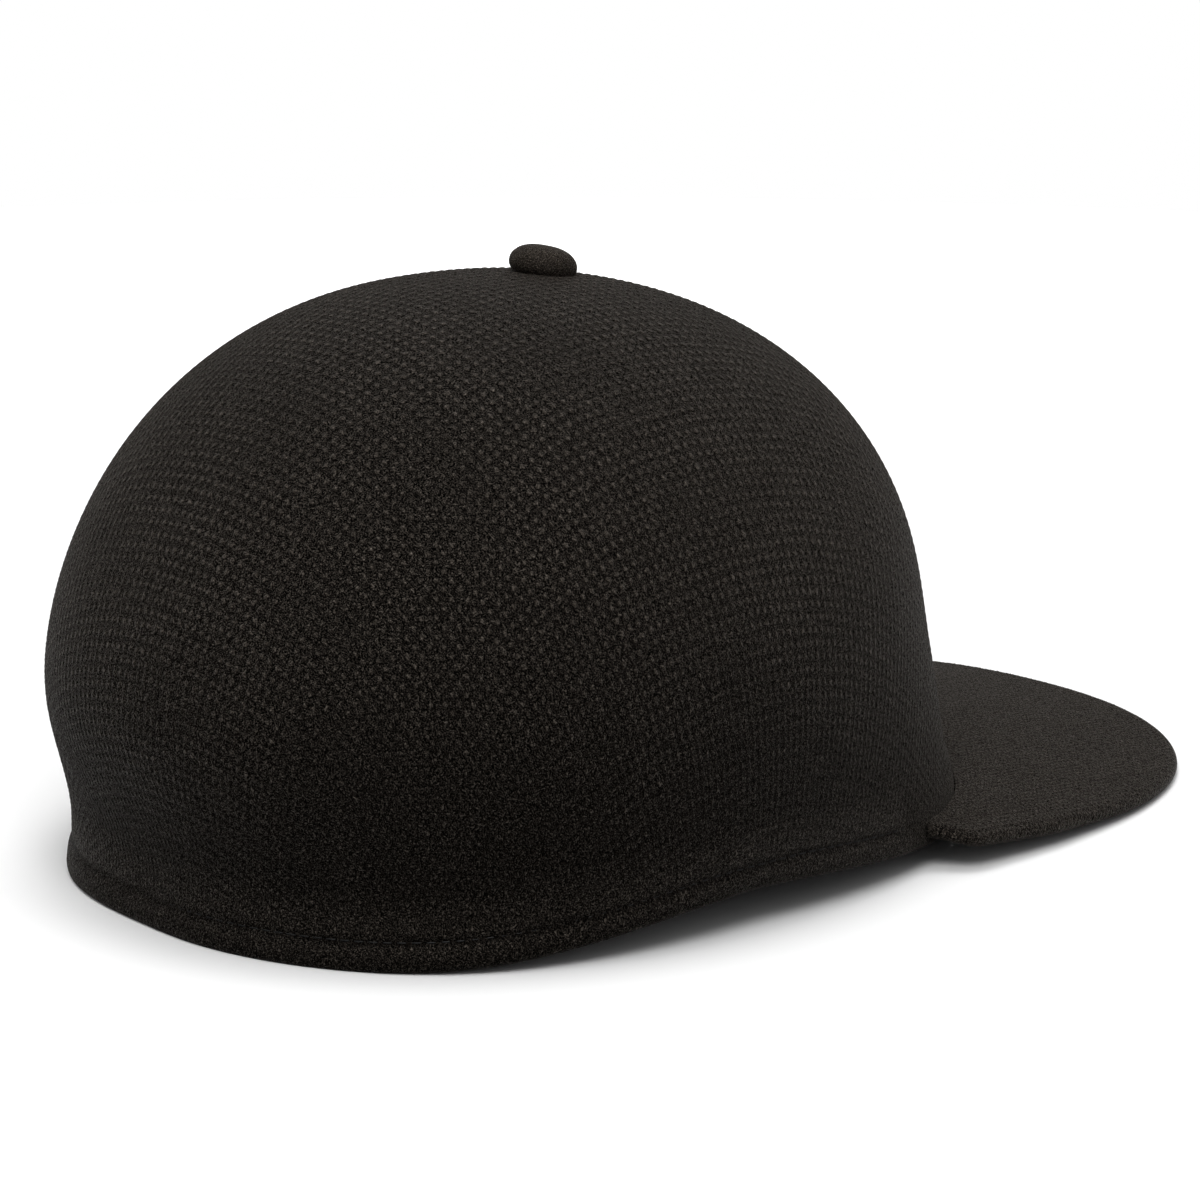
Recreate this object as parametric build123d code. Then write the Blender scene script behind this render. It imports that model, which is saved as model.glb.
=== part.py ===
from build123d import *
import math
import os

# A closed-back bump cap: a seamless stretch-knit baseball cap over a removable impact insert.
# Millimetres. Origin at the centre of the crown's plan, on the plane the cap rests on.
# +Z is up, the visor points to -Y, and the wearer's right is -X.

# Crown: outer half sizes at its widest, and how it closes towards the top
CROWN_HEIGHT = 123.0
CROWN_SIDE = 85.3
CROWN_FRONT = 91.3
CROWN_BACK = 99.6
WIDEST_SIDE = 39.0
WIDEST_FRONT = 57.0
WIDEST_BACK = 44.0
SIDE_POWER = 2.0
FRONT_POWER = 2.11
BACK_POWER = 1.59
DOME_POWER = 2.22
TOP_SHIFT = 7.0

# Crown below its widest: flare at the front, tuck at the sides, pull-in and lip at the back
FRONT_FLARE = 8.5
SIDE_TUCK = 4.2
BACK_PULL = 9.1
NECK_HEIGHT = 9.5
HEM_LIP = 2.2
SQUARENESS_HEM = 2.34
SQUARENESS_TOP = 2.1
SQUARENESS_HEIGHT = 45.0
CORNER_FULLNESS = 0.3
CORNER_LOW = 6.0
CORNER_HIGH = 21.0

# Hem: it rests on the ground behind REST_Y, rises over the ears, dips to the visor's corners
# and rises again at the forehead
HEM_RISE = 8.8
REST_Y = 83.9
RISEN_Y = 6.6
HEM_DIP = 4.6
DIP_Y = -60.0
BROW_Y = -100.0
HEM_FOLD = 11.0

# Beyond everything
FAR = 400.0

# Layers, as depths in from the crown's outer face
KNIT = 1.2
GAP = 0.05
ELASTIC = 0.5
ELASTIC_DEPTH = KNIT + 3 * GAP
FOLD_LEG = 0.9
STIFFENER = 0.7
SEAM_TAPE = 0.4
HEM_DEPTH = ELASTIC_DEPTH + ELASTIC + GAP + FOLD_LEG
STIFFENER_HALF_WIDTH = 66.0
STIFFENER_BACK_Y = -38.0
STIFFENER_TOP_Z = 102.0
SEAM_TAPE_INSET = 1.5

# Sweatband: a free-standing ring sewn in at the hem
BAND_SIDE = 79.4
BAND_BACK = 87.6
BAND_FRONT = 94.3
BAND_LEAN = 0.16
BAND_BACKING = 0.6
BAND_FACE = 1.1
BAND_LOW = 1.3
BAND_TOP = 27.5
BINDING = 3.0
BAND_SQUARENESS = 2.26
LABEL_WIDTH = 28.0
LABEL = 0.4
LABEL_LOW = 12.5

# Visor: a sheet that arches across, slopes down to the front and rests on its side edges
VISOR_HALF_WIDTH = 85.4
VISOR_ROOT_Y = -60.0
VISOR_LENGTH = 111.6
VISOR_ROOT_Z = 12.75
VISOR_SLOPE = 0.101
VISOR_ROOT_RADIUS = 400.0
VISOR_FRONT_RADIUS = 508.0
VISOR_REACH = 200.0
VISOR_SQUARENESS = 2.6
VISOR_CORNER = (80.3, -52.0)
VISOR_COVER = 0.85
VISOR_BOARD = 1.8
VISOR_RIM = 1.2
VISOR_SEAM_SHARE = 0.72
VISOR_THICKNESS = 2 * VISOR_COVER + VISOR_BOARD + 2 * GAP

# Button on the top
BUTTON_RADIUS = 7.0
BUTTON_HEIGHT = 5.8
BUTTON_PLACE = (0.0, -11.1, 122.1)
BUTTON_TILT = 11.0
BUTTON_CLOTH = 0.8
BUTTON_METAL = 0.5
BUTTON_LIFT = 0.55
SHANK_RADIUS = 1.6
SHANK_LENGTH = 3.6
PLATE = 0.8
PLATE_SHARE = 0.77
WASHER_RADIUS = 5.0
WASHER = 0.5

# Impact insert: shell, trim, pads and tabs
SHELL_HEIGHT = 118.4
SHELL_SIDE = 76.4
SHELL_FRONT = 87.0
SHELL_BACK = 84.6
SHELL_WIDEST = 48.0
SHELL_POWER = 2.1
SHELL_WALL = 2.2
SHELL_EDGE_Z = 43.0
SHELL_EDGE_SLOPE = -0.034
SLOT_WIDTH = 6.0
SIDE_SLOT_X = 50.0
SIDE_SLOT_YS = (-12.0, 20.0)
SIDE_SLOT_LENGTH = 22.0
TOP_SLOT_X = 16.0
TOP_SLOT_LENGTH = 30.0
RIB_WIDTH = 3.0
RIB_XS = (-8.0, 0.0, 8.0)
RIB_YS = (-64.0, 76.0)
RIB_LOWEST = 70.0
RIB_ROOT = 0.4
RIB_HEIGHT = 0.5
TRIM_WALL = 0.8
TRIM_DEPTH = 5.0
PAD = 5.0
CROWN_PAD = (64.0, 84.0)
CROWN_PAD_CORNER = 26.0
PAD_SLOT = (8.0, 34.0)
FRONT_PAD = ((-52.0, 52.0), (-FAR, -40.0), (54.0, 84.0))
REAR_PAD = ((-44.0, 44.0), (45.0, FAR), (56.0, 84.0))
RIGHT_PAD = ((-FAR, -40.0), (-26.0, 34.0), (52.0, 80.0))
LEFT_PAD = ((40.0, FAR), (-26.0, 34.0), (52.0, 80.0))
TAB_SIZE = 18.0
TAB_X = 29.0
TAB_YS = (-24.0, 38.0)
TAB_HOOK = 0.5
TAB_LOOP = 0.4
PULL_TAB_WIDTH = 14.0
PULL_TAB_THICKNESS = 1.1
PULL_TAB_DEPTH = SHELL_WALL + 3 * GAP + TRIM_WALL
PULL_TAB_TOP = 54.5
PULL_TAB_BOTTOM = 20.0
PULL_TAB_SET = 0.5
RIVET_Z = 49.5
RIVET_RADIUS = 1.5
RIVET_CLEARANCE = 0.1
RIVET_HEAD = 0.5
RIVET_HEAD_RADIUS = 3.2

# Section heights: low on the crown, and as shares of the climb from the widest level to the top
FOOT_HEIGHTS = (-2.0, 4.0, NECK_HEIGHT, 16.0, 23.0, 30.0, 37.0)
DOME_SHARES = (0.0, 0.1, 0.24, 0.4, 0.56, 0.71, 0.84, 0.93, 0.98, 0.997)
SPLINE_POINTS = 16


def clamp(value):
    return min(1.0, max(0.0, value))


def smooth(value):
    """Goes from 0 to 1 with a level start and end."""
    value = clamp(value)
    return value * value * (3 - 2 * value)


def dome(height, widest, top, power):
    """Share of the half size that is left at a height above the widest level."""
    climb = clamp((height - widest) / (top - widest))
    return (1 - climb**power) ** (1 / DOME_POWER)


def outline(height, side, front, back, centre, squareness, front_fullness=0.0):
    """Closed curve at one height: rounded front, back and sides, symmetrical about the YZ plane."""
    points = []
    for i in range(SPLINE_POINTS):
        angle = math.pi / 2 + 2 * math.pi * i / SPLINE_POINTS
        across, along = math.cos(angle), math.sin(angle)
        power = 2 / (squareness + front_fullness * smooth(-2 * along))
        x = math.copysign(side * abs(across) ** power, across)
        reach = abs(along) ** power
        y = centre + (back - centre if along > 0 else front - centre) * reach
        points.append((x, y, height))
    return Wire([Edge.make_spline(points, periodic=True)])


def crown_outline(height, depth):
    """The crown's outline at a height, drawn in by a depth."""
    top = CROWN_HEIGHT - depth
    side = (CROWN_SIDE - depth) * dome(height, WIDEST_SIDE, top, SIDE_POWER)
    side -= SIDE_TUCK * clamp((WIDEST_SIDE - height) / WIDEST_SIDE) ** 2
    front = (CROWN_FRONT - depth) * dome(height, WIDEST_FRONT, top, FRONT_POWER)
    front += FRONT_FLARE * clamp((WIDEST_FRONT - height) / WIDEST_FRONT) ** 1.3
    back = (CROWN_BACK - depth) * dome(height, WIDEST_BACK, top, BACK_POWER)
    back -= BACK_PULL * smooth((WIDEST_BACK - height) / (WIDEST_BACK - NECK_HEIGHT))
    back += HEM_LIP * smooth((NECK_HEIGHT - height) / NECK_HEIGHT)
    centre = TOP_SHIFT * clamp(height / CROWN_HEIGHT) ** 2
    blend = clamp(height / SQUARENESS_HEIGHT)
    squareness = SQUARENESS_HEM + (SQUARENESS_TOP - SQUARENESS_HEM) * blend
    fullness = CORNER_FULLNESS * smooth((CORNER_HIGH - height) / (CORNER_HIGH - CORNER_LOW))
    return outline(height, side, centre - front, centre + back, centre, squareness, fullness)


def shell_outline(height, depth):
    """The impact shell's outline at a height, drawn in by a depth."""
    share = dome(height, SHELL_WIDEST, SHELL_HEIGHT - depth, SHELL_POWER)
    centre = TOP_SHIFT * clamp(height / CROWN_HEIGHT) ** 2
    front = centre - (SHELL_FRONT - depth) * share
    back = centre + (SHELL_BACK - depth) * share
    return outline(height, (SHELL_SIDE - depth) * share, front, back, centre, SQUARENESS_TOP)


def band_outline(height, depth):
    """The sweatband's outline at a height: upright, and leaning back with the forehead."""
    front = BAND_LEAN * (height - HEM_RISE) - BAND_FRONT + depth
    return outline(height, BAND_SIDE - depth, front, BAND_BACK - depth, 0, BAND_SQUARENESS)


def loft_through(curve, heights, depth):
    return Solid.make_loft([curve(height, depth) for height in heights])


def skin(curve, heights, depth, thickness):
    """The wall between two nested lofts, drawn in by a depth and by a depth plus a thickness.

    heights gives the section heights for a depth. The two lofts share their lowest level, and their
    highest one too unless they are domes.
    """
    sheets = []
    ends = {}
    for inset in (depth, depth + thickness):
        for face in loft_through(curve, heights(inset), inset).faces():
            level = round(face.center().Z, 6)
            if face.geom_type == GeomType.PLANE:
                ends.setdefault(level, []).append(face)
            else:
                sheets.append(face)
    for faces in ends.values():
        rims = [face.outer_wire() for face in faces]
        sheets.append(Face(rims[0], rims[1:]))
    return Solid(Shell(sheets))


def spaced(low, high, shares):
    return [low + (high - low) * share for share in shares]


def foot_heights(depth):
    return list(FOOT_HEIGHTS)


def crown_heights(depth):
    return foot_heights(depth) + spaced(WIDEST_BACK, CROWN_HEIGHT - depth, DOME_SHARES)


def shell_heights(depth):
    return [30.0, 40.0] + spaced(SHELL_WIDEST, SHELL_HEIGHT - depth, DOME_SHARES)


def band_heights(depth):
    return [-2.0, 10.0, 24.0, 50.0]


def crown_skin(depth, thickness):
    return skin(crown_outline, crown_heights, depth, thickness)


def foot_skin(depth, thickness):
    """A ring of the crown's lower end alone."""
    return skin(crown_outline, foot_heights, depth, thickness)


def crown_foot(depth):
    """Everything inside the crown's lower end, drawn in by a depth."""
    return loft_through(crown_outline, FOOT_HEIGHTS, depth)


def shell_skin(depth, thickness):
    return skin(shell_outline, shell_heights, depth, thickness)


def above_hem(low, high):
    """The slice of space between two heights above the hem's curved lower edge."""
    def edge(lift):
        places = [(REST_Y, 0), (RISEN_Y, HEM_RISE), (DIP_Y, HEM_DIP), (BROW_Y, HEM_RISE)]
        points = [(y, z + lift) for y, z in places]
        level = [(-1, 0)] * len(points)
        return points[0], points[-1], Spline(*points, tangents=level)

    low_start, low_end, low_curve = edge(low)
    high_start, high_end, high_curve = edge(high)
    back = Polyline(low_start, (FAR, low), (FAR, high), high_start)
    front = Polyline(low_end, (-FAR, HEM_RISE + low), (-FAR, HEM_RISE + high), high_end)
    profile = make_face([low_curve, back, high_curve, front])
    return extrude(Plane.YZ * profile, FAR, both=True)


def block(x, y, z):
    """A box from its lowest and highest x, y and z."""
    size = (x[1] - x[0], y[1] - y[0], z[1] - z[0])
    return Pos((x[0] + x[1]) / 2, (y[0] + y[1]) / 2, (z[0] + z[1]) / 2) * Box(*size)


def make_crown():
    """Knit wall with its lower edge turned up inside, and a hole for the button's shank."""
    wall = crown_skin(0, KNIT)
    turn = foot_skin(KNIT / 2, HEM_DEPTH - KNIT / 2) & above_hem(-1, KNIT)
    leg = foot_skin(HEM_DEPTH - FOLD_LEG, FOLD_LEG - GAP) & above_hem(KNIT / 2, HEM_FOLD)
    crown = (wall + turn + leg) & above_hem(0, FAR)
    hole = Pos(*BUTTON_PLACE) * Rot(BUTTON_TILT, 0, 0) * Cylinder(SHANK_RADIUS + GAP, 4 * BUTTON_HEIGHT)
    return crown - hole


def make_hem_elastic():
    return foot_skin(ELASTIC_DEPTH, ELASTIC) & above_hem(KNIT + GAP, HEM_FOLD - GAP)


def make_front_stiffener():
    """Stiff mesh behind the forehead, from above the hem to high on the front."""
    width = (-STIFFENER_HALF_WIDTH, STIFFENER_HALF_WIDTH)
    front = block(width, (-FAR, STIFFENER_BACK_Y), (0, STIFFENER_TOP_Z)) & above_hem(HEM_FOLD + 1, FAR)
    return crown_skin(KNIT + GAP, STIFFENER) & front


def make_seam_tape():
    """Tape over the visor's seam allowance, between the hem and the sweatband."""
    front = block((-FAR, FAR), (-FAR, VISOR_CORNER[1]), (0, FAR))
    front &= above_hem(SEAM_TAPE_INSET, HEM_FOLD - SEAM_TAPE_INSET)
    return foot_skin(HEM_DEPTH + GAP, SEAM_TAPE) & front


def band_ring(depth, thickness, low, high):
    return skin(band_outline, band_heights, depth, thickness) & above_hem(low, high)


def make_band_backing():
    return band_ring(0, BAND_BACKING, BAND_LOW, BAND_TOP)


def make_band_face():
    return band_ring(BAND_BACKING + GAP, BAND_FACE, BAND_LOW, BAND_TOP)


def make_band_binding():
    thickness = BAND_BACKING + GAP + BAND_FACE
    return band_ring(0, thickness, BAND_TOP + GAP, BAND_TOP + GAP + BINDING)


def make_care_label():
    """Blank label hanging behind the sweatband at the back."""
    width = (-LABEL_WIDTH / 2, LABEL_WIDTH / 2)
    return band_ring(-LABEL - 4 * GAP, LABEL, LABEL_LOW, BAND_TOP) & block(width, (0, FAR), (0, FAR))


def visor_plan(inset):
    """The visor's outline from above, drawn in by an inset, closed behind the crown's front."""
    half_width = VISOR_HALF_WIDTH - inset
    length = VISOR_LENGTH - inset
    right = []
    steps = 9
    for i in range(steps + 1):
        angle = math.pi / 2 * i / steps
        x = half_width * math.cos(angle) ** (2 / VISOR_SQUARENESS)
        y = VISOR_ROOT_Y - length * math.sin(angle) ** (2 / VISOR_SQUARENESS)
        right.append((x, y))
    left = [(-x, y) for x, y in reversed(right[:-1])]
    edge = Spline(*right, *left, tangents=[(0, -1), (0, 1)])
    corner_x, corner_y = VISOR_CORNER[0] - inset, VISOR_CORNER[1]
    corners = []
    for sign in (1, -1):
        start, end = (sign * half_width, VISOR_ROOT_Y), (sign * corner_x, corner_y)
        corners.append(Spline(start, end, tangents=[(0, 1), (-sign, 0.6)]))
    close = Polyline((corner_x, corner_y), (corner_x - 25, -20), (25 - corner_x, -20), (-corner_x, corner_y))
    return make_face([edge, *corners, close])


def visor_slab(depth, thickness):
    """Sloping sheet, more arched at the root than at the front, at a depth below the top face."""
    def section(y, radius):
        reach = 100.0
        top_z = VISOR_ROOT_Z + VISOR_SLOPE * (y + CROWN_FRONT + FRONT_FLARE)

        def arc(drop):
            sag = radius - math.sqrt((radius - drop) ** 2 - reach**2)
            return (-reach, y, top_z - sag), (0, y, top_z - drop), (reach, y, top_z - sag)

        upper, lower = arc(depth), arc(depth + thickness)
        sides = [Line(upper[2], lower[2]), Line(lower[0], upper[0])]
        return Wire([ThreePointArc(*upper), sides[0], ThreePointArc(*lower), sides[1]])

    ends = [section(0, VISOR_ROOT_RADIUS), section(-VISOR_REACH, VISOR_FRONT_RADIUS)]
    return Solid.make_loft(ends, ruled=True)


def visor_piece(inset, depth, thickness):
    return visor_slab(depth, thickness) & extrude(visor_plan(inset), 80, both=True)


def make_visor():
    """Two knit covers whose turned rims meet round the moulded board."""
    crown_side = crown_foot(-3 * GAP)
    board_room = visor_piece(VISOR_RIM, VISOR_COVER, VISOR_BOARD + 2 * GAP)
    seam = VISOR_SEAM_SHARE * VISOR_THICKNESS
    top = visor_piece(0, 0, seam - GAP / 2) - board_room - crown_side
    under = visor_piece(0, seam + GAP / 2, VISOR_THICKNESS - seam - GAP / 2) - board_room - crown_side
    board = visor_piece(VISOR_RIM + GAP, VISOR_COVER + GAP, VISOR_BOARD) - crown_foot(-2)
    return top, under, board


def button_lid(radius, height):
    """Low dome with a flat underside, standing on the origin."""
    edge = height * 0.32
    face = make_face([
        Line((0, 0), (radius * 0.86, 0)),
        ThreePointArc((radius * 0.86, 0), (radius * 0.985, edge * 0.35), (radius, edge)),
        Spline((radius, edge), (0, height), tangents=[(0, 1), (-1, 0)]),
        Line((0, height), (0, 0)),
    ])
    return revolve(Plane.XZ * face, Axis.Z)


def make_button():
    """Cloth over a pressed metal cap, and a shank through the crown with a washer inside."""
    seat = Pos(*BUTTON_PLACE) * Rot(BUTTON_TILT, 0, 0)
    cloth_room = button_lid(BUTTON_RADIUS - BUTTON_CLOTH, BUTTON_HEIGHT - BUTTON_CLOTH)
    cloth = button_lid(BUTTON_RADIUS, BUTTON_HEIGHT) - cloth_room
    inner = BUTTON_CLOTH + GAP
    cap_inside = BUTTON_RADIUS - inner - BUTTON_METAL
    cap = button_lid(BUTTON_RADIUS - inner, BUTTON_HEIGHT - inner)
    cap -= button_lid(cap_inside, BUTTON_HEIGHT - inner - BUTTON_METAL)
    plate = Pos(0, 0, PLATE / 2) * Cylinder(cap_inside * PLATE_SHARE, PLATE)
    post = Pos(0, 0, PLATE - SHANK_LENGTH / 2) * Cylinder(SHANK_RADIUS, SHANK_LENGTH)
    washer = Pos(0, 0, PLATE - SHANK_LENGTH) * Cylinder(WASHER_RADIUS, WASHER)
    raised = seat * Pos(0, 0, BUTTON_LIFT)
    return raised * cloth, raised * cap, raised * (plate + post + washer)


def upright(x, y, width, length):
    """A square-cornered column through the upper half of the dome."""
    return Pos(x, y, CROWN_HEIGHT) * Box(width, length, CROWN_HEIGHT)


def tab_spots(size):
    """Four upright square columns, high on the crown."""
    return [upright(x, y, size, size) for x in (-TAB_X, TAB_X) for y in TAB_YS]


def each_of(sheet, tools):
    """What each tool takes out of a sheet, as one group of separate solids."""
    return Compound(children=[piece for tool in tools for piece in (sheet & tool).solids()])


def make_loop_tabs():
    sheet = crown_skin(KNIT + GAP, TAB_LOOP)
    return each_of(sheet, tab_spots(TAB_SIZE))


def make_hook_tabs():
    sheet = shell_skin(-GAP - TAB_HOOK, TAB_HOOK)
    return each_of(sheet, tab_spots(TAB_SIZE - 2))


def edge_space(lift):
    """Everything above the shell's sloping lower edge, raised by a lift."""
    def edge(y):
        return SHELL_EDGE_Z + SHELL_EDGE_SLOPE * y + lift

    reach = 120.0
    corners = [(-reach, edge(-reach)), (reach, edge(reach)), (reach, 2 * reach), (-reach, 2 * reach)]
    profile = make_face(Polyline(*corners, close=True))
    return extrude(Plane.YZ * profile, FAR, both=True)


def vent_slots():
    """Two long slots down each side and one either side of the middle rib."""
    slots = []
    for side in (-1, 1):
        slots += [upright(side * SIDE_SLOT_X, y, SLOT_WIDTH, SIDE_SLOT_LENGTH) for y in SIDE_SLOT_YS]
        slots.append(upright(side * TOP_SLOT_X, TOP_SHIFT, SLOT_WIDTH, TOP_SLOT_LENGTH))
    return slots


def make_shell():
    """Moulded shell with long ribs, vent slots and a hole for the pull tab's rivet."""
    shell = shell_skin(0, SHELL_WALL) & edge_space(0)
    ribs = shell_skin(-RIB_HEIGHT, RIB_HEIGHT + RIB_ROOT)
    for x in RIB_XS:
        shell += ribs & block((x - RIB_WIDTH / 2, x + RIB_WIDTH / 2), RIB_YS, (RIB_LOWEST, FAR))
    for slot in vent_slots():
        shell -= slot
    return shell - rivet_post(2 * GAP)


def make_shell_trim():
    """Soft channel pressed over the shell's lower edge."""
    room = shell_skin(-GAP, SHELL_WALL + 2 * GAP) & edge_space(-GAP)
    trim = shell_skin(-GAP - TRIM_WALL, SHELL_WALL + 2 * GAP + 2 * TRIM_WALL)
    return (trim & edge_space(-GAP - TRIM_WALL)) - edge_space(TRIM_DEPTH) - room


def make_crown_pad(layer):
    width, length = CROWN_PAD
    column = upright(0, TOP_SHIFT, width, length)
    column = fillet(column.edges().filter_by(Axis.Z), CROWN_PAD_CORNER)
    pad = layer & column
    for x in (-TOP_SLOT_X, TOP_SLOT_X):
        pad -= upright(x, TOP_SHIFT, *PAD_SLOT)
    return pad


def make_pads():
    """Foam pads inside the shell: crown, forehead, back and both sides."""
    layer = shell_skin(SHELL_WALL + 2 * GAP, PAD)
    front, rear, *sides = [layer & block(*place) for place in (FRONT_PAD, REAR_PAD, RIGHT_PAD, LEFT_PAD)]
    return make_crown_pad(layer), front, rear, Compound(children=[side.solids()[0] for side in sides])


def shell_back(height):
    """How far back the shell reaches at a height below its widest level."""
    return TOP_SHIFT * (height / CROWN_HEIGHT) ** 2 + SHELL_BACK


def rivet_post(clearance):
    """The rivet's shaft, level along Y through the back of the shell."""
    post = Cylinder(RIVET_RADIUS + clearance, 20)
    return Pos(0, shell_back(RIVET_Z), RIVET_Z) * Rot(90, 0, 0) * post


def make_pull_tab():
    """Webbing tab that hangs inside the back of the shell."""
    half = PULL_TAB_WIDTH / 2
    sheet = shell_skin(PULL_TAB_DEPTH, PULL_TAB_THICKNESS)
    upper = sheet & block((-half, half), (0, FAR), (SHELL_EDGE_Z - 3, PULL_TAB_TOP))
    back = shell_back(SHELL_EDGE_Z - 3) - PULL_TAB_DEPTH - PULL_TAB_SET
    lower = block((-half, half), (back - PULL_TAB_THICKNESS, back), (PULL_TAB_BOTTOM, SHELL_EDGE_Z - 2))
    return upper + lower - rivet_post(2 * GAP)


def make_tab_rivet():
    """Shaft with a flat head outside the shell and one inside the tab."""
    back = shell_back(RIVET_Z)
    inside = back - PULL_TAB_DEPTH - PULL_TAB_THICKNESS - PULL_TAB_SET
    outside = back + RIVET_CLEARANCE
    lay = Rot(90, 0, 0)
    rivet = Pos(0, (inside + outside) / 2, RIVET_Z) * lay * Cylinder(RIVET_RADIUS, outside - inside)
    for y in (outside + RIVET_HEAD / 2, inside - RIVET_HEAD / 2):
        rivet += Pos(0, y, RIVET_Z) * lay * Cylinder(RIVET_HEAD_RADIUS, RIVET_HEAD)
    return rivet


def build():
    visor_top, visor_under, visor_board = make_visor()
    button_cover, button_cap, button_shank = make_button()
    crown_pad, front_pad, rear_pad, side_pads = make_pads()
    return {
        "crown_knit": make_crown(),
        "hem_elastic": make_hem_elastic(),
        "front_stiffener": make_front_stiffener(),
        "visor_seam_tape": make_seam_tape(),
        "sweatband_backing": make_band_backing(),
        "sweatband_face": make_band_face(),
        "sweatband_binding": make_band_binding(),
        "care_label": make_care_label(),
        "visor_top_cover": visor_top,
        "visor_under_cover": visor_under,
        "visor_board": visor_board,
        "button_cover": button_cover,
        "button_cap": button_cap,
        "button_shank": button_shank,
        "loop_tabs": make_loop_tabs(),
        "hook_tabs": make_hook_tabs(),
        "bump_shell": make_shell(),
        "shell_trim": make_shell_trim(),
        "crown_pad": crown_pad,
        "front_pad": front_pad,
        "rear_pad": rear_pad,
        "side_pads": side_pads,
        "pull_tab": make_pull_tab(),
        "tab_rivet": make_tab_rivet(),
    }


os.makedirs("parts", exist_ok=True)
for name, shape in build().items():
    export_step(shape, f"parts/{name}.step")
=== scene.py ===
import math

import bpy
import numpy as np
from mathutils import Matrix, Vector
from mathutils.bvhtree import BVHTree


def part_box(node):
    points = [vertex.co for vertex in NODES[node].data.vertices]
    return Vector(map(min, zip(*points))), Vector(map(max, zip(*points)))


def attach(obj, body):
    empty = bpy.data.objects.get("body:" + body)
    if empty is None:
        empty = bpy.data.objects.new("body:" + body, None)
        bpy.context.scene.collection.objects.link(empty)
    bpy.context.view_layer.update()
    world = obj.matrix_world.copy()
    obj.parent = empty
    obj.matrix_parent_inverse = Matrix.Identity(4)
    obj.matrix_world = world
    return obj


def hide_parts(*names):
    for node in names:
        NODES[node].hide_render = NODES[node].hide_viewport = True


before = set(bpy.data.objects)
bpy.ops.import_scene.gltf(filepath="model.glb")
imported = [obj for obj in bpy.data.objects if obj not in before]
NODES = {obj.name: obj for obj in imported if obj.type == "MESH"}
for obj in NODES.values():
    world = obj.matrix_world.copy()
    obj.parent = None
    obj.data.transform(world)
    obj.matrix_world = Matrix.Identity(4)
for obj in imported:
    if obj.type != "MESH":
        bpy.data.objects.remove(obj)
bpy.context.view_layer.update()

# Metres throughout. Z is up, the visor points to -Y, and every size comes from the CAD frame
# or from the named values below.
MM = 0.001
RNG = np.random.default_rng(7)

# Rays that feel for the CAD surfaces: how far out they start, how far they run, and how often a
# gap between a hit and a miss is halved to find the hem's edge
RAY_START = 0.3
RAY_REACH = 0.26
HALVINGS = 12

# The knit attribute's third value on cloth that is nowhere near the hem
FAR_FROM_HEM = 0.2

# Knit crown: the point its spokes fan out from, mesh density, knots, wall, and the turned hem
CROWN_HEART = np.array([0, 0.004, 0.040])
CROWN_STEPS = 200
KNIT_PITCH = 2.6 * MM
KNIT_RELIEF = 0.12 * MM
WEAVE_RELIEF = 0.05 * MM
SWAY = 0.25 * MM
CROWN_SPOKES = 1152
CROWN_RINGS = 300
CROWN_LINING_RINGS = 70
KNIT_SHEEN = 0.08
KNIT_SHINE = 0.3
WALL = 1.2 * MM
HEM_BAND = 6.2 * MM
HEM_BULGE = 0.3 * MM
HEM_EDGE = 1.3 * MM
HEM_GROOVE = 0.55 * MM
GROOVE_WIDTH = 1.0 * MM
HEM_LEG = 11.0 * MM
GROOVE_END = -36.0 * MM
GROOVE_FADE = 14 * MM
HEM_FADE = 20.0 * MM
STITCH_PITCH = 2.9 * MM
STITCH_SIZE = 0.15 * MM

# Visor and button: the covers' knit and rounded edge, and the button's cloth bun
VISOR_CENTRE = np.array([0, -0.046])
VISOR_SPOKES = 900
VISOR_PITCH = 1.5 * MM
VISOR_GRAIN = 0.05 * MM
VISOR_BURY = 0.7 * MM
VISOR_LIP = 6 * MM
VISOR_LIP_TURN = 0.36
VISOR_BODY_ROWS, VISOR_LIP_ROWS, VISOR_TURN_ROWS = 60, 8, 14
VISOR_GAP = 0.1 * MM
VISOR_ROUNDING = 2.4 * MM
VISOR_PULL = 0.5 * MM
VISOR_SEAM_TURN = 0.8
BUTTON_WIDE = 14.4 * MM
BUTTON_TALL = 6.8 * MM
BUTTON_TOP_SHARE = 0.6
BUTTON_TOP_POWER, BUTTON_SEAT_POWER = 0.8, 0.42
BUTTON_FUZZ = 0.05 * MM
BUTTON_LEAN = 14.0
BUTTON_DROP = 1.4 * MM

# Layers round the head: the radius that lengths along them are measured at, a small turn that
# keeps rays off the mesh's own edges, and how far the first and last rows stay from the ends
HEAD_RADIUS = 0.085
RAY_TURN = 1e-4
END_SHARE = 0.006

# Insert: the hook and loop patches' places and sizes, and how the foam pads are puffed out
TAB_XS = (-29 * MM, 29 * MM)
TAB_YS = (-24 * MM, 38 * MM)
PAD_GRAIN = 1.8 * MM
PAD_PRESSURE = 4.0
PAD_TRAVEL = 1.2 * MM
PAD_FRAMES = 20
PAD_HEART = np.array([0, 0, 0.040])
LOOP_TAB = 18 * MM
HOOK_TAB = 16 * MM
TAB_ROUNDNESS = 9
TAB_SHRINK = 0.992
TAB_EDGE = 16

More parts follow.
